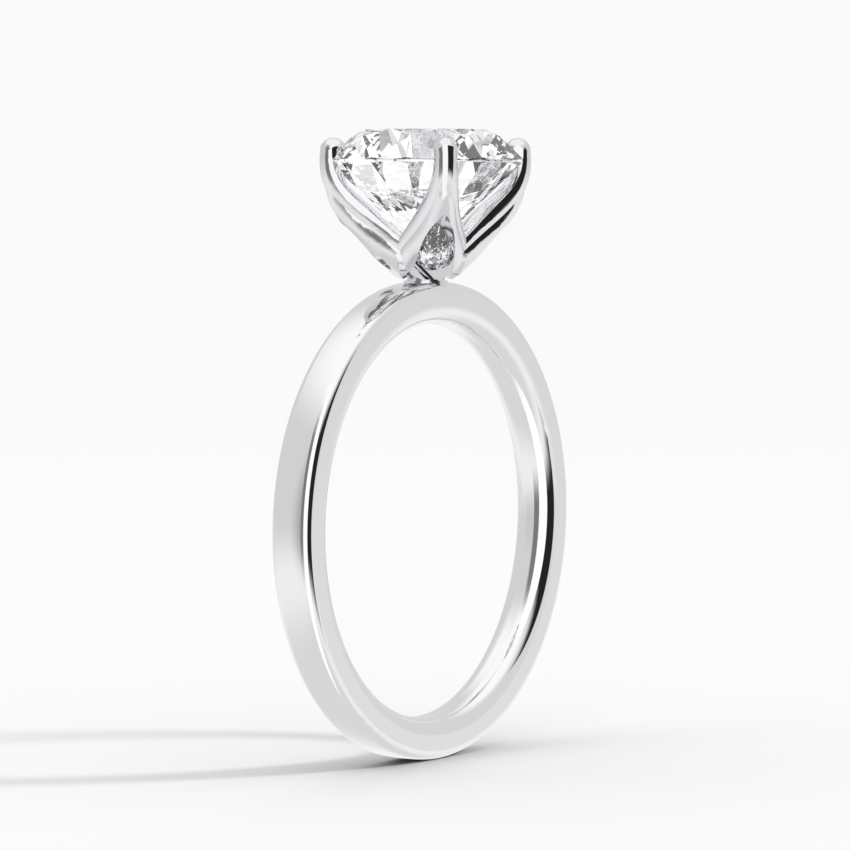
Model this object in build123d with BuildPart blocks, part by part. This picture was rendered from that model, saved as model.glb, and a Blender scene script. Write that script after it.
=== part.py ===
from build123d import *
from math import atan2, cos, degrees, pi, radians, sin, sqrt
import os

os.makedirs("parts", exist_ok=True)

# Solitaire engagement ring. Millimetres, +Z up to the stone.
# The origin is the centre of the finger hole, whose axis lies along Y.

# Band
finger_radius = 8.25          # US size 6
band_width = 1.90
band_thickness = 1.75
land_width = 0.40             # straight middle of the finger hole
comfort_width = 0.90          # of the shallow dome on both sides of the land
comfort_rise = 0.038          # how far the dome's edges stand back from the land
side_foot = 0.717             # where the rounded inner edge meets the flat side, above the land
corner_radius = 0.38
crown_of_band = 0.05          # how much the outer face is domed

# Centre stone, a round brilliant of 2 carats
stone_diameter = 8.10
girdle_middle = 15.02
girdle_thickness = 0.09
table_ratio = 0.625
crown_height = 1.25
pavilion_depth = 3.80
star_length = 0.50            # share of the way from table to girdle
lower_half_length = 0.78      # share of the way from girdle to culet

# Petals: points are in the plane that holds the ring's vertical axis, (distance out, height)
petal_angles = {"front_left": 225, "front_right": 315, "back_right": 45, "back_left": 135}
petal_width = 2.94
claw_cap_middle = (3.92, 15.30)
claw_cap_radii = (0.60, 0.52, 0.67)     # of the rounded end of the claw: outwards, across and up
teardrop_width = 2.56
teardrop_centre = 11.16
# Cross-sections from foot to claw: the crest's distance out and height, its lean from upright in
# degrees, the half width, and the depth of the domes that face outwards and inwards
leaf_sections = [
    (0.88, 10.24, 47.5, 1.44, 0.80, 0.32),
    (1.90, 11.18, 47.0, 1.43, 0.80, 0.32),
    (2.70, 11.93, 45.5, 1.08, 0.80, 0.32),
    (3.46, 12.68, 39.0, 0.82, 0.78, 0.32),
    (4.30, 13.95, 15.5, 0.58, 0.60, 0.32),
    (4.49, 15.10, 3.5, 0.48, 0.44, 0.75),
    (4.55, 16.30, 3.0, 0.47, 0.44, 0.90),
]
bezel_sections = [
    (1.19, 9.92, 47.5, 1.28, 0.97, 0.30),
    (2.21, 10.86, 47.0, 1.27, 0.97, 0.30),
    (3.00, 11.62, 45.5, 0.90, 0.91, 0.30),
    (3.69, 12.50, 37.0, 0.62, 0.73, 0.30),
    (4.26, 13.96, 15.5, 0.36, 0.40, 0.20),
]
# The bezel's dome is cut back to a face that runs up the petal through these points
bezel_face = [(1.06, 10.10), (2.25, 11.16), (3.62, 12.55), (4.30, 13.95)]

# Base of the head
collar_radius = 0.80
collar_top = 11.05
flange_radius = 0.92
flange_bottom = 9.72
flange_top = 10.02
peg_radius = 0.55
peg_bottom = 8.90

# Pear stones
pear_width = 1.12
pear_length = 2.44
pear_place = (1.84, 10.81)    # middle of the round end, on the bezel's face
pear_slope = 45.0             # of the bezel's face there, from level
pear_depth = 0.34             # of the girdle below the bezel's face
pear_crown = 0.14
pear_pavilion = 0.42
pear_girdle = 0.05
mouth_width = 1.56            # of the pocket, where it opens
mouth_length = 3.40
mouth_shift = 0.30            # of the mouth's round end up the petal, from the stone's
bead_radius = 0.13
bead_spread = 0.22            # of the two beads, from the petal's middle

outer_radius = finger_radius + band_thickness
stone_radius = stone_diameter / 2


def around(radius, angle, height):
    return (radius * cos(radians(angle)), radius * sin(radians(angle)), height)


def pear_plane(lift):
    """Plane on the sloping face of the petal, lift above it: y runs up the petal, z points away from it."""
    slope = radians(pear_slope)
    out = pear_place[0] + lift * sin(slope)
    height = pear_place[1] - lift * cos(slope)
    return Plane(origin=(out, 0, height), x_dir=(0, 1, 0), z_dir=(sin(slope), 0, -cos(slope)))


def pear_sketch(lift, width=pear_width, length=pear_length, shift=0.0):
    """Pear outline on a petal's sloping face: a half circle, and two long arcs that meet in a point."""
    half = width / 2
    tip = (0, shift + length - half)
    with BuildSketch(pear_plane(lift)) as outline:
        with BuildLine():
            CenterArc((0, shift), half, 180, 180)
            TangentArc((half, shift), tip, tangent=(0, 1))
            TangentArc((-half, shift), tip, tangent=(0, 1))
        make_face()
    return outline.sketch


def pocket():
    """What is cut out of a petal for its pear stone: a flared mouth, a straight wall and a tapered well."""
    well_top = -pear_depth - pear_girdle
    well_bottom = pear_sketch(well_top - pear_pavilion, pear_width / 2, pear_length / 2)
    mouth = pear_sketch(0.0, mouth_width, mouth_length, mouth_shift)
    with BuildPart() as cutter:
        extrude(mouth, amount=0.4)
        loft([pear_sketch(-pear_depth), mouth])
        extrude(pear_sketch(well_top), amount=pear_girdle)
        loft([well_bottom, pear_sketch(well_top)])
    return cutter.part


def beads():
    """Two small beads of metal over the lower rim of a pear stone."""
    plane = pear_plane(bead_radius / 2 - pear_depth)
    across = sqrt((pear_width / 2) ** 2 - bead_spread**2)
    with BuildPart() as pair:
        for x in (-bead_spread, bead_spread):
            with Locations(plane.from_local_coords((x, -across, 0))):
                Sphere(bead_radius)
    return pair.part


def brilliant_points():
    """Corners of a round brilliant's facets, on a girdle a little too wide, to be turned round afterwards."""
    table = stone_radius * table_ratio
    corner = stone_radius / cos(pi / 16)
    girdle_top = girdle_middle + girdle_thickness / 2
    girdle_bottom = girdle_middle - girdle_thickness / 2
    crown_slope = crown_height / (corner - table)
    pavilion_slope = pavilion_depth / corner
    star = table * cos(pi / 8) + star_length * (corner - table)
    star_height = girdle_top + (corner - star * cos(pi / 8)) * crown_slope
    lower = corner * (1 - lower_half_length)
    lower_height = girdle_bottom - (corner - lower * cos(pi / 8)) * pavilion_slope
    points = [(0, 0, girdle_bottom - pavilion_depth)]
    for step in range(8):
        main = 45 * step
        half = main + 22.5
        points += [around(table, main, girdle_top + crown_height), around(star, half, star_height)]
        points += [around(corner, main, girdle_top), around(corner, half, girdle_top)]
        points += [around(corner, main, girdle_bottom), around(corner, half, girdle_bottom)]
        points += [around(lower, half, lower_height)]
    return points


def pear_ring(scale):
    """Corners of a pear stone's outline, shrunk towards the middle of its round end."""
    half = pear_width / 2
    tip = pear_length - half
    side_radius = (half**2 + tip**2) / (2 * half)
    side_sweep = degrees(atan2(tip, side_radius - half))
    corners = [(half * cos(radians(a)), half * sin(radians(a))) for a in range(180, 361, 30)]
    for share in (1 / 3, 2 / 3):
        a = radians(side_sweep * share)
        x = half - side_radius + side_radius * cos(a)
        corners += [(x, side_radius * sin(a)), (-x, side_radius * sin(a))]
    corners += [(0, tip)]
    return [(x * scale, y * scale) for x, y in corners]


with BuildPart() as centre_diamond:
    ConvexPolyhedron(brilliant_points())
    with Locations((0, 0, girdle_middle)):
        Cylinder(stone_radius, 2 * stone_diameter, mode=Mode.INTERSECT)

with BuildPart() as head_base:
    with BuildSketch(Plane.XZ):
        with BuildLine():
            Polyline(
                (0, peg_bottom),
                (peg_radius, peg_bottom),
                (peg_radius, flange_bottom),
                (flange_radius, flange_bottom),
                (flange_radius, flange_top),
                (collar_radius, flange_top),
                (collar_radius, collar_top),
                (0, collar_top),
                close=True,
            )
        make_face()
    revolve(axis=Axis.Z)

with BuildPart() as shank:
    with BuildSketch(Plane.YZ) as section:
        dome_edge = (comfort_width / 2, finger_radius + comfort_rise)
        side_start = (band_width / 2, finger_radius + side_foot)
        shoulder = (band_width / 2, outer_radius - crown_of_band)
        with BuildLine():
            land = Line((0, finger_radius), (land_width / 2, finger_radius))
            dome = TangentArc(land @ 1, dome_edge, tangent=(1, 0))
            TangentArc(dome_edge, side_start, tangent=dome % 1)
            Line(side_start, shoulder)
            TangentArc((0, outer_radius), shoulder, tangent=(1, 0))
            mirror(about=Plane.YZ)
        make_face()
        fillet(section.vertices().group_by(Axis.X)[0].sort_by(Axis.Y)[-1], corner_radius)
        fillet(section.vertices().group_by(Axis.X)[-1].sort_by(Axis.Y)[-1], corner_radius)
    revolve(axis=Axis.Y)
    with Locations((0, 0, outer_radius)):
        CounterBoreHole(
            peg_radius,
            flange_radius,
            outer_radius - flange_bottom,
            outer_radius - peg_bottom,
        )


with BuildPart() as pear_stone:
    rings = [(-pear_depth - pear_girdle - pear_pavilion, 0.02), (-pear_depth - pear_girdle, 1.0)]
    rings += [(-pear_depth, 1.0), (-pear_depth + pear_crown, 0.58)]
    corners = []
    for lift, share in rings:
        plane = pear_plane(lift)
        corners += [plane.from_local_coords((x, y, 0)) for x, y in pear_ring(share)]
    ConvexPolyhedron(corners)

def domed(sections):
    """Faces to loft a leaf through, each of them two half ellipses that meet at the leaf's edges."""
    faces = []
    for out, height, lean, half_width, outer_dome, inner_dome in sections:
        upwards = (sin(radians(lean)), 0, cos(radians(lean)))
        inwards = (-cos(radians(lean)), 0, sin(radians(lean)))
        middle = (out + outer_dome * inwards[0], 0, height + outer_dome * inwards[2])
        with BuildSketch(Plane(origin=middle, x_dir=(0, 1, 0), z_dir=upwards)) as section:
            with BuildLine():
                EllipticalCenterArc((0, 0), half_width, inner_dome, start_angle=0, arc_size=180)
                EllipticalCenterArc((0, 0), half_width, outer_dome, start_angle=180, arc_size=180)
            make_face()
        faces.append(section.sketch)
    return faces


def above_foot(width, drop):
    """What is kept of a leaf: everything above a round lower end, as seen from in front of it."""
    with BuildPart() as keep:
        with BuildSketch(Plane.YZ):
            with BuildLine():
                EllipticalCenterArc((0, teardrop_centre), width / 2, drop, start_angle=270, arc_size=90)
                Polyline((width / 2, teardrop_centre), (1.7, teardrop_centre), (1.7, 16.5), (0, 16.5))
                mirror(about=Plane.YZ)
            make_face()
        extrude(amount=6)
    return keep.part


with BuildPart() as behind_face:
    with BuildSketch(Plane.XZ.offset(-2)):
        with BuildLine():
            face = Spline(*bezel_face, tangents=((0.74, 0.67), (0.25, 0.97)))
            Polyline(face @ 1, (4.30, 14.6), (0, 14.6), (0, 9.5), (0.40, 9.5), face @ 0)
        make_face()
    extrude(amount=4)

cap_out, cap_height = claw_cap_middle
cap = Pos(cap_out, 0, cap_height) * scale(Sphere(1), by=claw_cap_radii)
below_cap = Pos(0, 0, cap_height - 5) * Box(12, 12, 10)
leaf = loft(domed(leaf_sections)) & above_foot(petal_width, 1.20)
leaf_shape = (leaf & below_cap) + (leaf & cap)
bezel_shape = loft(domed(bezel_sections)) & above_foot(teardrop_width, 1.12) & behind_face.part

# Petal that points along +X: a domed leaf with its claw, a bezel that stands out of its foot and
# fades into the claw, and the seats for both stones
with BuildPart() as petal:
    add(leaf_shape)
    add(bezel_shape)
    quarter = (Align.MIN, Align.MIN, Align.MIN)
    Box(9, 9, 20, rotation=(0, 0, -45), align=quarter, mode=Mode.INTERSECT)
    add(pocket(), mode=Mode.SUBTRACT)
    add(beads())
    add(head_base.part, mode=Mode.SUBTRACT)
    with Locations((0, 0, collar_top)):
        Cylinder(collar_radius, 2.0, mode=Mode.SUBTRACT)
    add(centre_diamond.part, mode=Mode.SUBTRACT)
    add(pear_stone.part, mode=Mode.SUBTRACT)

centre_diamond.part.label = "centre_diamond"
export_step(centre_diamond.part, "parts/centre_diamond.step")

head_base.part.label = "head_base"
export_step(head_base.part, "parts/head_base.step")

shank.part.label = "shank"
export_step(shank.part, "parts/shank.step")

for place, angle in petal_angles.items():
    claw = petal.part.rotate(Axis.Z, angle)
    claw.label = f"petal_claw_{place}"
    export_step(claw, f"parts/petal_claw_{place}.step")

    stone = pear_stone.part.rotate(Axis.Z, angle)
    stone.label = f"accent_diamond_{place}"
    export_step(stone, f"parts/accent_diamond_{place}.step")
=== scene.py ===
import math

import bmesh
import bpy
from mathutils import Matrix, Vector


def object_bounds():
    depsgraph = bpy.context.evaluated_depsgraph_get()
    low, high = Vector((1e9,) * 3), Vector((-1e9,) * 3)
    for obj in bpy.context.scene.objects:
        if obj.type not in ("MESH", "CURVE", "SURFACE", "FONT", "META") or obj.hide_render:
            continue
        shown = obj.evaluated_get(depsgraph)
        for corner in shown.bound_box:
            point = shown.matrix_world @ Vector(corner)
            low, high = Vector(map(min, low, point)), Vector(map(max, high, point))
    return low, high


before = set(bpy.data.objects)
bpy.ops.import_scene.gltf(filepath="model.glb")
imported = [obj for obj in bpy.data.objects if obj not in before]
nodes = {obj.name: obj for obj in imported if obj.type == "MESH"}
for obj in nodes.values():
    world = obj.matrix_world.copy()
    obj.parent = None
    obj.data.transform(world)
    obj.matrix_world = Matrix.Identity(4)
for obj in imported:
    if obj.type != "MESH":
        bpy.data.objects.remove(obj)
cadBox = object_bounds()
print("frame loaded:", len(nodes), "nodes")

# A long lens a little above the stone, so the stone is seen from its side
view = {
    "place": (-0.14930, -0.09842, 0.01393),
    "forward": (0.83353, 0.54968, -0.05554),
    "lens": 181.4,                  # mm, on a sensor 36 mm wide
    "sensor": 36,
    "nearest": 0.01,
    "furthest": 10,
}
cameraData = bpy.data.cameras.new("camera")
cameraData.sensor_width = view["sensor"]
cameraData.lens = view["lens"]
cameraData.clip_start = view["nearest"]
cameraData.clip_end = view["furthest"]
camera = bpy.data.objects.new("camera", cameraData)
camera.location = view["place"]
camera.rotation_mode = "QUATERNION"
camera.rotation_quaternion = Vector(view["forward"]).to_track_quat("-Z", "Y")
bpy.context.scene.collection.objects.link(camera)
bpy.context.scene.camera = camera
print("camera made")


def linearColour(hexColour):
    parts = [int(hexColour[i:i + 2], 16) / 255 for i in (1, 3, 5)]
    parts = [c / 12.92 if c <= 0.04045 else ((c + 0.055) / 1.055) ** 2.4 for c in parts]
    return (*parts, 1)


def addNode(tree, kind, settings=None, links=None):
    # a setting is a property of the node, or an input by its name or number, as every link is
    node = tree.nodes.new(kind)
    for key, value in (settings or {}).items():
        if hasattr(node, str(key)):
            setattr(node, key, value)
    inputs = {s.name: s for s in reversed(node.inputs) if s.enabled}
    inputs.update(enumerate(node.inputs))
    for key, value in (settings or {}).items():
        if not hasattr(node, str(key)):
            inputs[key].default_value = value
    for key, source in (links or {}).items():
        tree.links.new(source, inputs[key])
    return node


def newMaterial(name):
    material = bpy.data.materials.new(name)
    material.use_nodes = True
    material.node_tree.nodes.clear()
    return material, material.node_tree


def towards(azimuth, elevation):
    # azimuth from the camera, to the right as the camera sees it, in degrees
    a, e = math.radians(azimuth), math.radians(elevation)
    back = -Vector((view["forward"][0], view["forward"][1], 0)).normalized()
    right = Vector((-back.y, back.x, 0))
    return (back * math.cos(a) + right * math.sin(a)) * math.cos(e) + Vector((0, 0, math.sin(e)))


# White gold of 14 carat, rhodium plated: a bright grey mirror whose polish varies a little
metalLooks = {
    # polished on a wheel, so the band mirrors the room
    "shank": {"name": "whiteGoldMirrorPolished", "colour": "#EFEFF0", "roughness": 0.035, "dents": 0.012},
    # the wheel doesn't reach into the joint, so it is greyer and blurs what it mirrors
    "head_base": {"name": "whiteGoldDullInJoint", "colour": "#E4E4E6", "roughness": 0.16, "dents": 0.030},
    # polished by hand round the stones; its colour is set a shade darker than the band as painted shade,
    # standing in for the dim reflection of the shank and the shadowed floor below the petals
    "petal_claw": {"name": "whiteGoldPaintedShade", "colour": "#E6E6E8", "roughness": 0.045, "dents": 0.015},
}
polish = {
    "patch": 0.0015,                # metres across a patch of duller polish
    "scratch": 0.00006,             # and across a polishing line; real ones are finer, too fine to show
    "stretch": 0.12,                # of the lines' pattern along the finger
    "dent": 0.0012,
    "dentDepth": 0.0001,
    "contrast": (0.8, 1.2),         # of patches and lines together
    "spread": (0.7, 1.5),           # least and most of the look's roughness
}


def polishedMetal(look):
    material, tree = newMaterial(look["name"])
    place = addNode(tree, "ShaderNodeTexCoord")
    patches = addNode(tree, "ShaderNodeTexNoise", {"Scale": 1 / polish["patch"], "Detail": 3.0},
                      {"Vector": place.outputs["Object"]})
    lines = addNode(tree, "ShaderNodeMapping", {"Scale": (1.0, polish["stretch"], 1.0)},
                    {"Vector": place.outputs["Object"]})
    scratches = addNode(tree, "ShaderNodeTexNoise", {"Scale": 1 / polish["scratch"], "Detail": 2.0},
                        {"Vector": lines.outputs["Vector"]})
    both = addNode(tree, "ShaderNodeMath", {"operation": "ADD"},
                   {0: patches.outputs["Fac"], 1: scratches.outputs["Fac"]})
    low, high = polish["contrast"]
    least, most = polish["spread"]
    dullness = addNode(tree, "ShaderNodeMapRange",
                       {"From Min": low, "From Max": high,
                        "To Min": look["roughness"] * least, "To Max": look["roughness"] * most},
                       {"Value": both.outputs["Value"]})
    dents = addNode(tree, "ShaderNodeTexNoise", {"Scale": 1 / polish["dent"], "Detail": 0.0},
                    {"Vector": place.outputs["Object"]})
    bump = addNode(tree, "ShaderNodeBump", {"Strength": look["dents"], "Distance": polish["dentDepth"]},
                   {"Height": dents.outputs["Fac"]})
    shader = addNode(tree, "ShaderNodeBsdfPrincipled",
                     {"Base Color": linearColour(look["colour"]), "Metallic": 1.0},
                     {"Roughness": dullness.outputs["Result"], "Normal": bump.outputs["Normal"]})
    addNode(tree, "ShaderNodeOutputMaterial", None, {"Surface": shader.outputs["BSDF"]})
    return material


# Cut diamond: flat polished facets and very high refraction, so it breaks the room into sharp bright
# and dark pieces, with a trace of cloud inside
stoneLooks = {
    "centre_diamond": {"name": "diamondRoundBrilliant", "colour": "#FFFFFF", "cloud": "#F4F5F8"},
    "accent_diamond": {"name": "diamondPearCut", "colour": "#FFFFFF", "cloud": "#F0F1F5"},
}
diamondCut = {
    "ior": 2.417,
    "cloudSize": 0.0006,            # metres
    "cloudy": (0.4, 0.7),           # where the facets begin and end to be less well polished
    "roughness": 0.004,             # there
}


def cutDiamond(look):
    material, tree = newMaterial(look["name"])
    place = addNode(tree, "ShaderNodeTexCoord")
    cloud = addNode(tree, "ShaderNodeTexNoise", {"Scale": 1 / diamondCut["cloudSize"], "Detail": 2.0},
                    {"Vector": place.outputs["Object"]})
    tint = addNode(tree, "ShaderNodeMix",       # its inputs 6 and 7 are the two colours
                   {"data_type": "RGBA", 6: linearColour(look["colour"]), 7: linearColour(look["cloud"])},
                   {"Factor": cloud.outputs["Fac"]})
    start, end = diamondCut["cloudy"]
    facets = addNode(tree, "ShaderNodeMapRange",
                     {"From Min": start, "From Max": end, "To Min": 0.0, "To Max": diamondCut["roughness"]},
                     {"Value": cloud.outputs["Fac"]})
    shader = addNode(tree, "ShaderNodeBsdfPrincipled", {"IOR": diamondCut["ior"], "Transmission Weight": 1.0},
                     {"Base Color": tint.outputs[2], "Roughness": facets.outputs["Result"]})
    addNode(tree, "ShaderNodeOutputMaterial", None, {"Surface": shader.outputs["BSDF"]})
    return material


finishes = {kind: polishedMetal(look) for kind, look in metalLooks.items()}
finishes.update({kind: cutDiamond(look) for kind, look in stoneLooks.items()})
for name, node in nodes.items():
    kind = next(k for k in finishes if name.startswith(k))
    node.data.materials.clear()
    node.data.materials.append(finishes[kind])
print("metal and stones finished")

# Matt white board, fading into an even backdrop away from the ring
board = {
    "radius": 1.3,
    "edges": 96,
    "colour": "#F3F3F3",
    "backdrop": 0.956,              # brightness behind the ring
    "fade": (0.06, 0.30),           # metres from the ring
}
mesh = bpy.data.meshes.new("floor")
bm = bmesh.new()
bmesh.ops.create_circle(bm, cap_ends=True, segments=board["edges"], radius=board["radius"])
bm.to_mesh(mesh)
bm.free()
floor = bpy.data.objects.new("floor", mesh)
floor.location.z = cadBox[0].z
floor.visible_glossy = False        # the ring mirrors only the room below
floor.visible_transmission = False
bpy.context.scene.collection.objects.link(floor)

floorMaterial, tree = newMaterial("paintedBoardMatt")
paint = addNode(tree, "ShaderNodeBsdfPrincipled",
                {"Base Color": linearColour(board["colour"]), "Roughness": 1.0, "Specular IOR Level": 0.0})
haze = addNode(tree, "ShaderNodeEmission", {"Color": (1, 1, 1, 1), "Strength": board["backdrop"]})
place = addNode(tree, "ShaderNodeTexCoord")
reach = addNode(tree, "ShaderNodeVectorMath", {"operation": "LENGTH"}, {0: place.outputs["Object"]})
start, end = board["fade"]
fade = addNode(tree, "ShaderNodeMapRange",
               {"From Min": start, "From Max": end, "interpolation_type": "SMOOTHSTEP"},
               {"Value": reach.outputs["Value"]})
blend = addNode(tree, "ShaderNodeMixShader", None,
                {0: fade.outputs["Result"], 1: paint.outputs["BSDF"], 2: haze.outputs["Emission"]})
addNode(tree, "ShaderNodeOutputMaterial", None, {"Surface": blend.outputs["Shader"]})
floor.data.materials.append(floorMaterial)
print("floor laid")

# The room that metal mirrors. Angles are in degrees from the camera; an edge goes from where a light
# or a flag begins to show to where it is full
room = {
    "left": 0.73,
    "right": 0.76,
    "sides": (-0.6, 0.8),           # how far to the left and right those two are reached
}
panels = {
    "ceiling": {"brightness": 1.10, "elevation": [(35, 60)]},
    "below": {"brightness": 0.98, "elevation": [(2, -20)]},
    "underneath": {"brightness": 0.78, "elevation": [(-25, -50)]},
    "left flag": {"brightness": 0.22, "azimuth": [(-68, -56), (-17, -29)], "elevation": [(-29, -5), (57, 33)]},
    "window": {"brightness": 1.18, "azimuth": [(-24.5, -21.5), (26, 23)], "elevation": [(-89, -61), (76, 48)]},
    "right flag": {"brightness": 0.02, "azimuth": [(23, 26), (81.5, 78.5)], "elevation": [(-27, -9), (41, 23)]},
}
# What stones show of the room: bright all round, with small dark specks that their facets pick up
sparkle = {"bright": 1.25, "dark": 0.20, "scale": 12.0, "edge": (0.34, 0.41)}
floorLight = 0.845                  # soft light from all round that falls on the board

world = bpy.data.worlds.new("studio")
bpy.context.scene.world = world
world.use_nodes = True
tree = world.node_tree
tree.nodes.clear()
direction = addNode(tree, "ShaderNodeTexCoord")
along = {}
for name, axis in (("right", towards(90, 0)), ("back", towards(0, 0)), ("up", (0, 0, 1))):
    dot = addNode(tree, "ShaderNodeVectorMath", {"operation": "DOT_PRODUCT", 1: axis},
                  {0: direction.outputs["Generated"]})
    along[name] = dot.outputs["Value"]
turn = addNode(tree, "ShaderNodeMath", {"operation": "ARCTAN2"}, {0: along["right"], 1: along["back"]})
rise = addNode(tree, "ShaderNodeMath", {"operation": "ARCSINE"}, {0: along["up"]})
angles = {}
for name, radians in (("azimuth", turn), ("elevation", rise)):
    degrees = addNode(tree, "ShaderNodeMath", {"operation": "MULTIPLY", 1: math.degrees(1)},
                      {0: radians.outputs["Value"]})
    angles[name] = degrees.outputs["Value"]

farLeft, farRight = room["sides"]
walls = addNode(tree, "ShaderNodeMapRange",
                {"From Min": farLeft, "From Max": farRight, "To Min": room["left"], "To Max": room["right"],
                 "interpolation_type": "SMOOTHSTEP"}, {"Value": along["right"]})
mirrored = walls.outputs["Result"]
for panel in panels.values():
    place = None
    for angle in ("azimuth", "elevation"):
        for start, end in panel.get(angle, ()):
            edge = addNode(tree, "ShaderNodeMapRange",
                           {"From Min": start, "From Max": end, "interpolation_type": "SMOOTHSTEP"},
                           {"Value": angles[angle]})
            inside = edge.outputs["Result"]
            if place is not None:
                both = addNode(tree, "ShaderNodeMath", {"operation": "MULTIPLY"}, {0: place, 1: inside})
                inside = both.outputs["Value"]
            place = inside
    hung = addNode(tree, "ShaderNodeMix", {"data_type": "FLOAT", "B": panel["brightness"]},
                   {"Factor": place, "A": mirrored})
    mirrored = hung.outputs[0]

specks = addNode(tree, "ShaderNodeTexNoise", {"Scale": sparkle["scale"], "Detail": 3.0, "Roughness": 0.6},
                 {"Vector": direction.outputs["Generated"]})
start, end = sparkle["edge"]
speckled = addNode(tree, "ShaderNodeMapRange",
                   {"From Min": start, "From Max": end, "To Min": sparkle["dark"], "To Max": sparkle["bright"],
                    "interpolation_type": "SMOOTHSTEP"}, {"Value": specks.outputs["Fac"]})
ray = addNode(tree, "ShaderNodeLightPath")
inStone = addNode(tree, "ShaderNodeMix", {"data_type": "FLOAT"},
                  {"Factor": ray.outputs["Is Transmission Ray"], "A": mirrored, "B": speckled.outputs["Result"]})
onFloor = addNode(tree, "ShaderNodeMix", {"data_type": "FLOAT", "B": floorLight},
                  {"Factor": ray.outputs["Is Diffuse Ray"], "A": inStone.outputs[0]})
behind = addNode(tree, "ShaderNodeMix", {"data_type": "FLOAT", "B": board["backdrop"]},
                 {"Factor": ray.outputs["Is Camera Ray"], "A": onFloor.outputs[0]})
background = addNode(tree, "ShaderNodeBackground", {"Color": (1, 1, 1, 1)}, {"Strength": behind.outputs[0]})
addNode(tree, "ShaderNodeOutputWorld", None, {"Surface": background.outputs["Background"]})

# Two soft lamps that only cast shadows: a key on the right, and a weak one opposite
lamps = {
    "key": {"azimuth": 90, "elevation": 33, "angle": 10, "strength": 1.25},
    "fill": {"azimuth": -85, "elevation": 38, "angle": 22, "strength": 0.12},
}
for name, lamp in lamps.items():
    data = bpy.data.lights.new(name, "SUN")
    data.angle = math.radians(lamp["angle"])
    data.energy = lamp["strength"]
    sun = bpy.data.objects.new(name, data)
    sun.rotation_mode = "QUATERNION"
    sun.rotation_quaternion = towards(lamp["azimuth"], lamp["elevation"]).to_track_quat("Z", "Y")
    sun.visible_glossy = False
    sun.visible_transmission = False
    bpy.context.scene.collection.objects.link(sun)
print("studio lit")

scene = bpy.context.scene
scene.view_settings.view_transform = "Standard"
scene.view_settings.look = "None"
scene.cycles.max_bounces = 24       # stones need many
scene.cycles.transmission_bounces = 20
scene.cycles.glossy_bounces = 8
scene.cycles.diffuse_bounces = 3
scene.cycles.use_denoising = True
scene.cycles.sample_clamp_indirect = 6.0
scene.cycles.caustics_refractive = False
scene.cycles.caustics_reflective = False
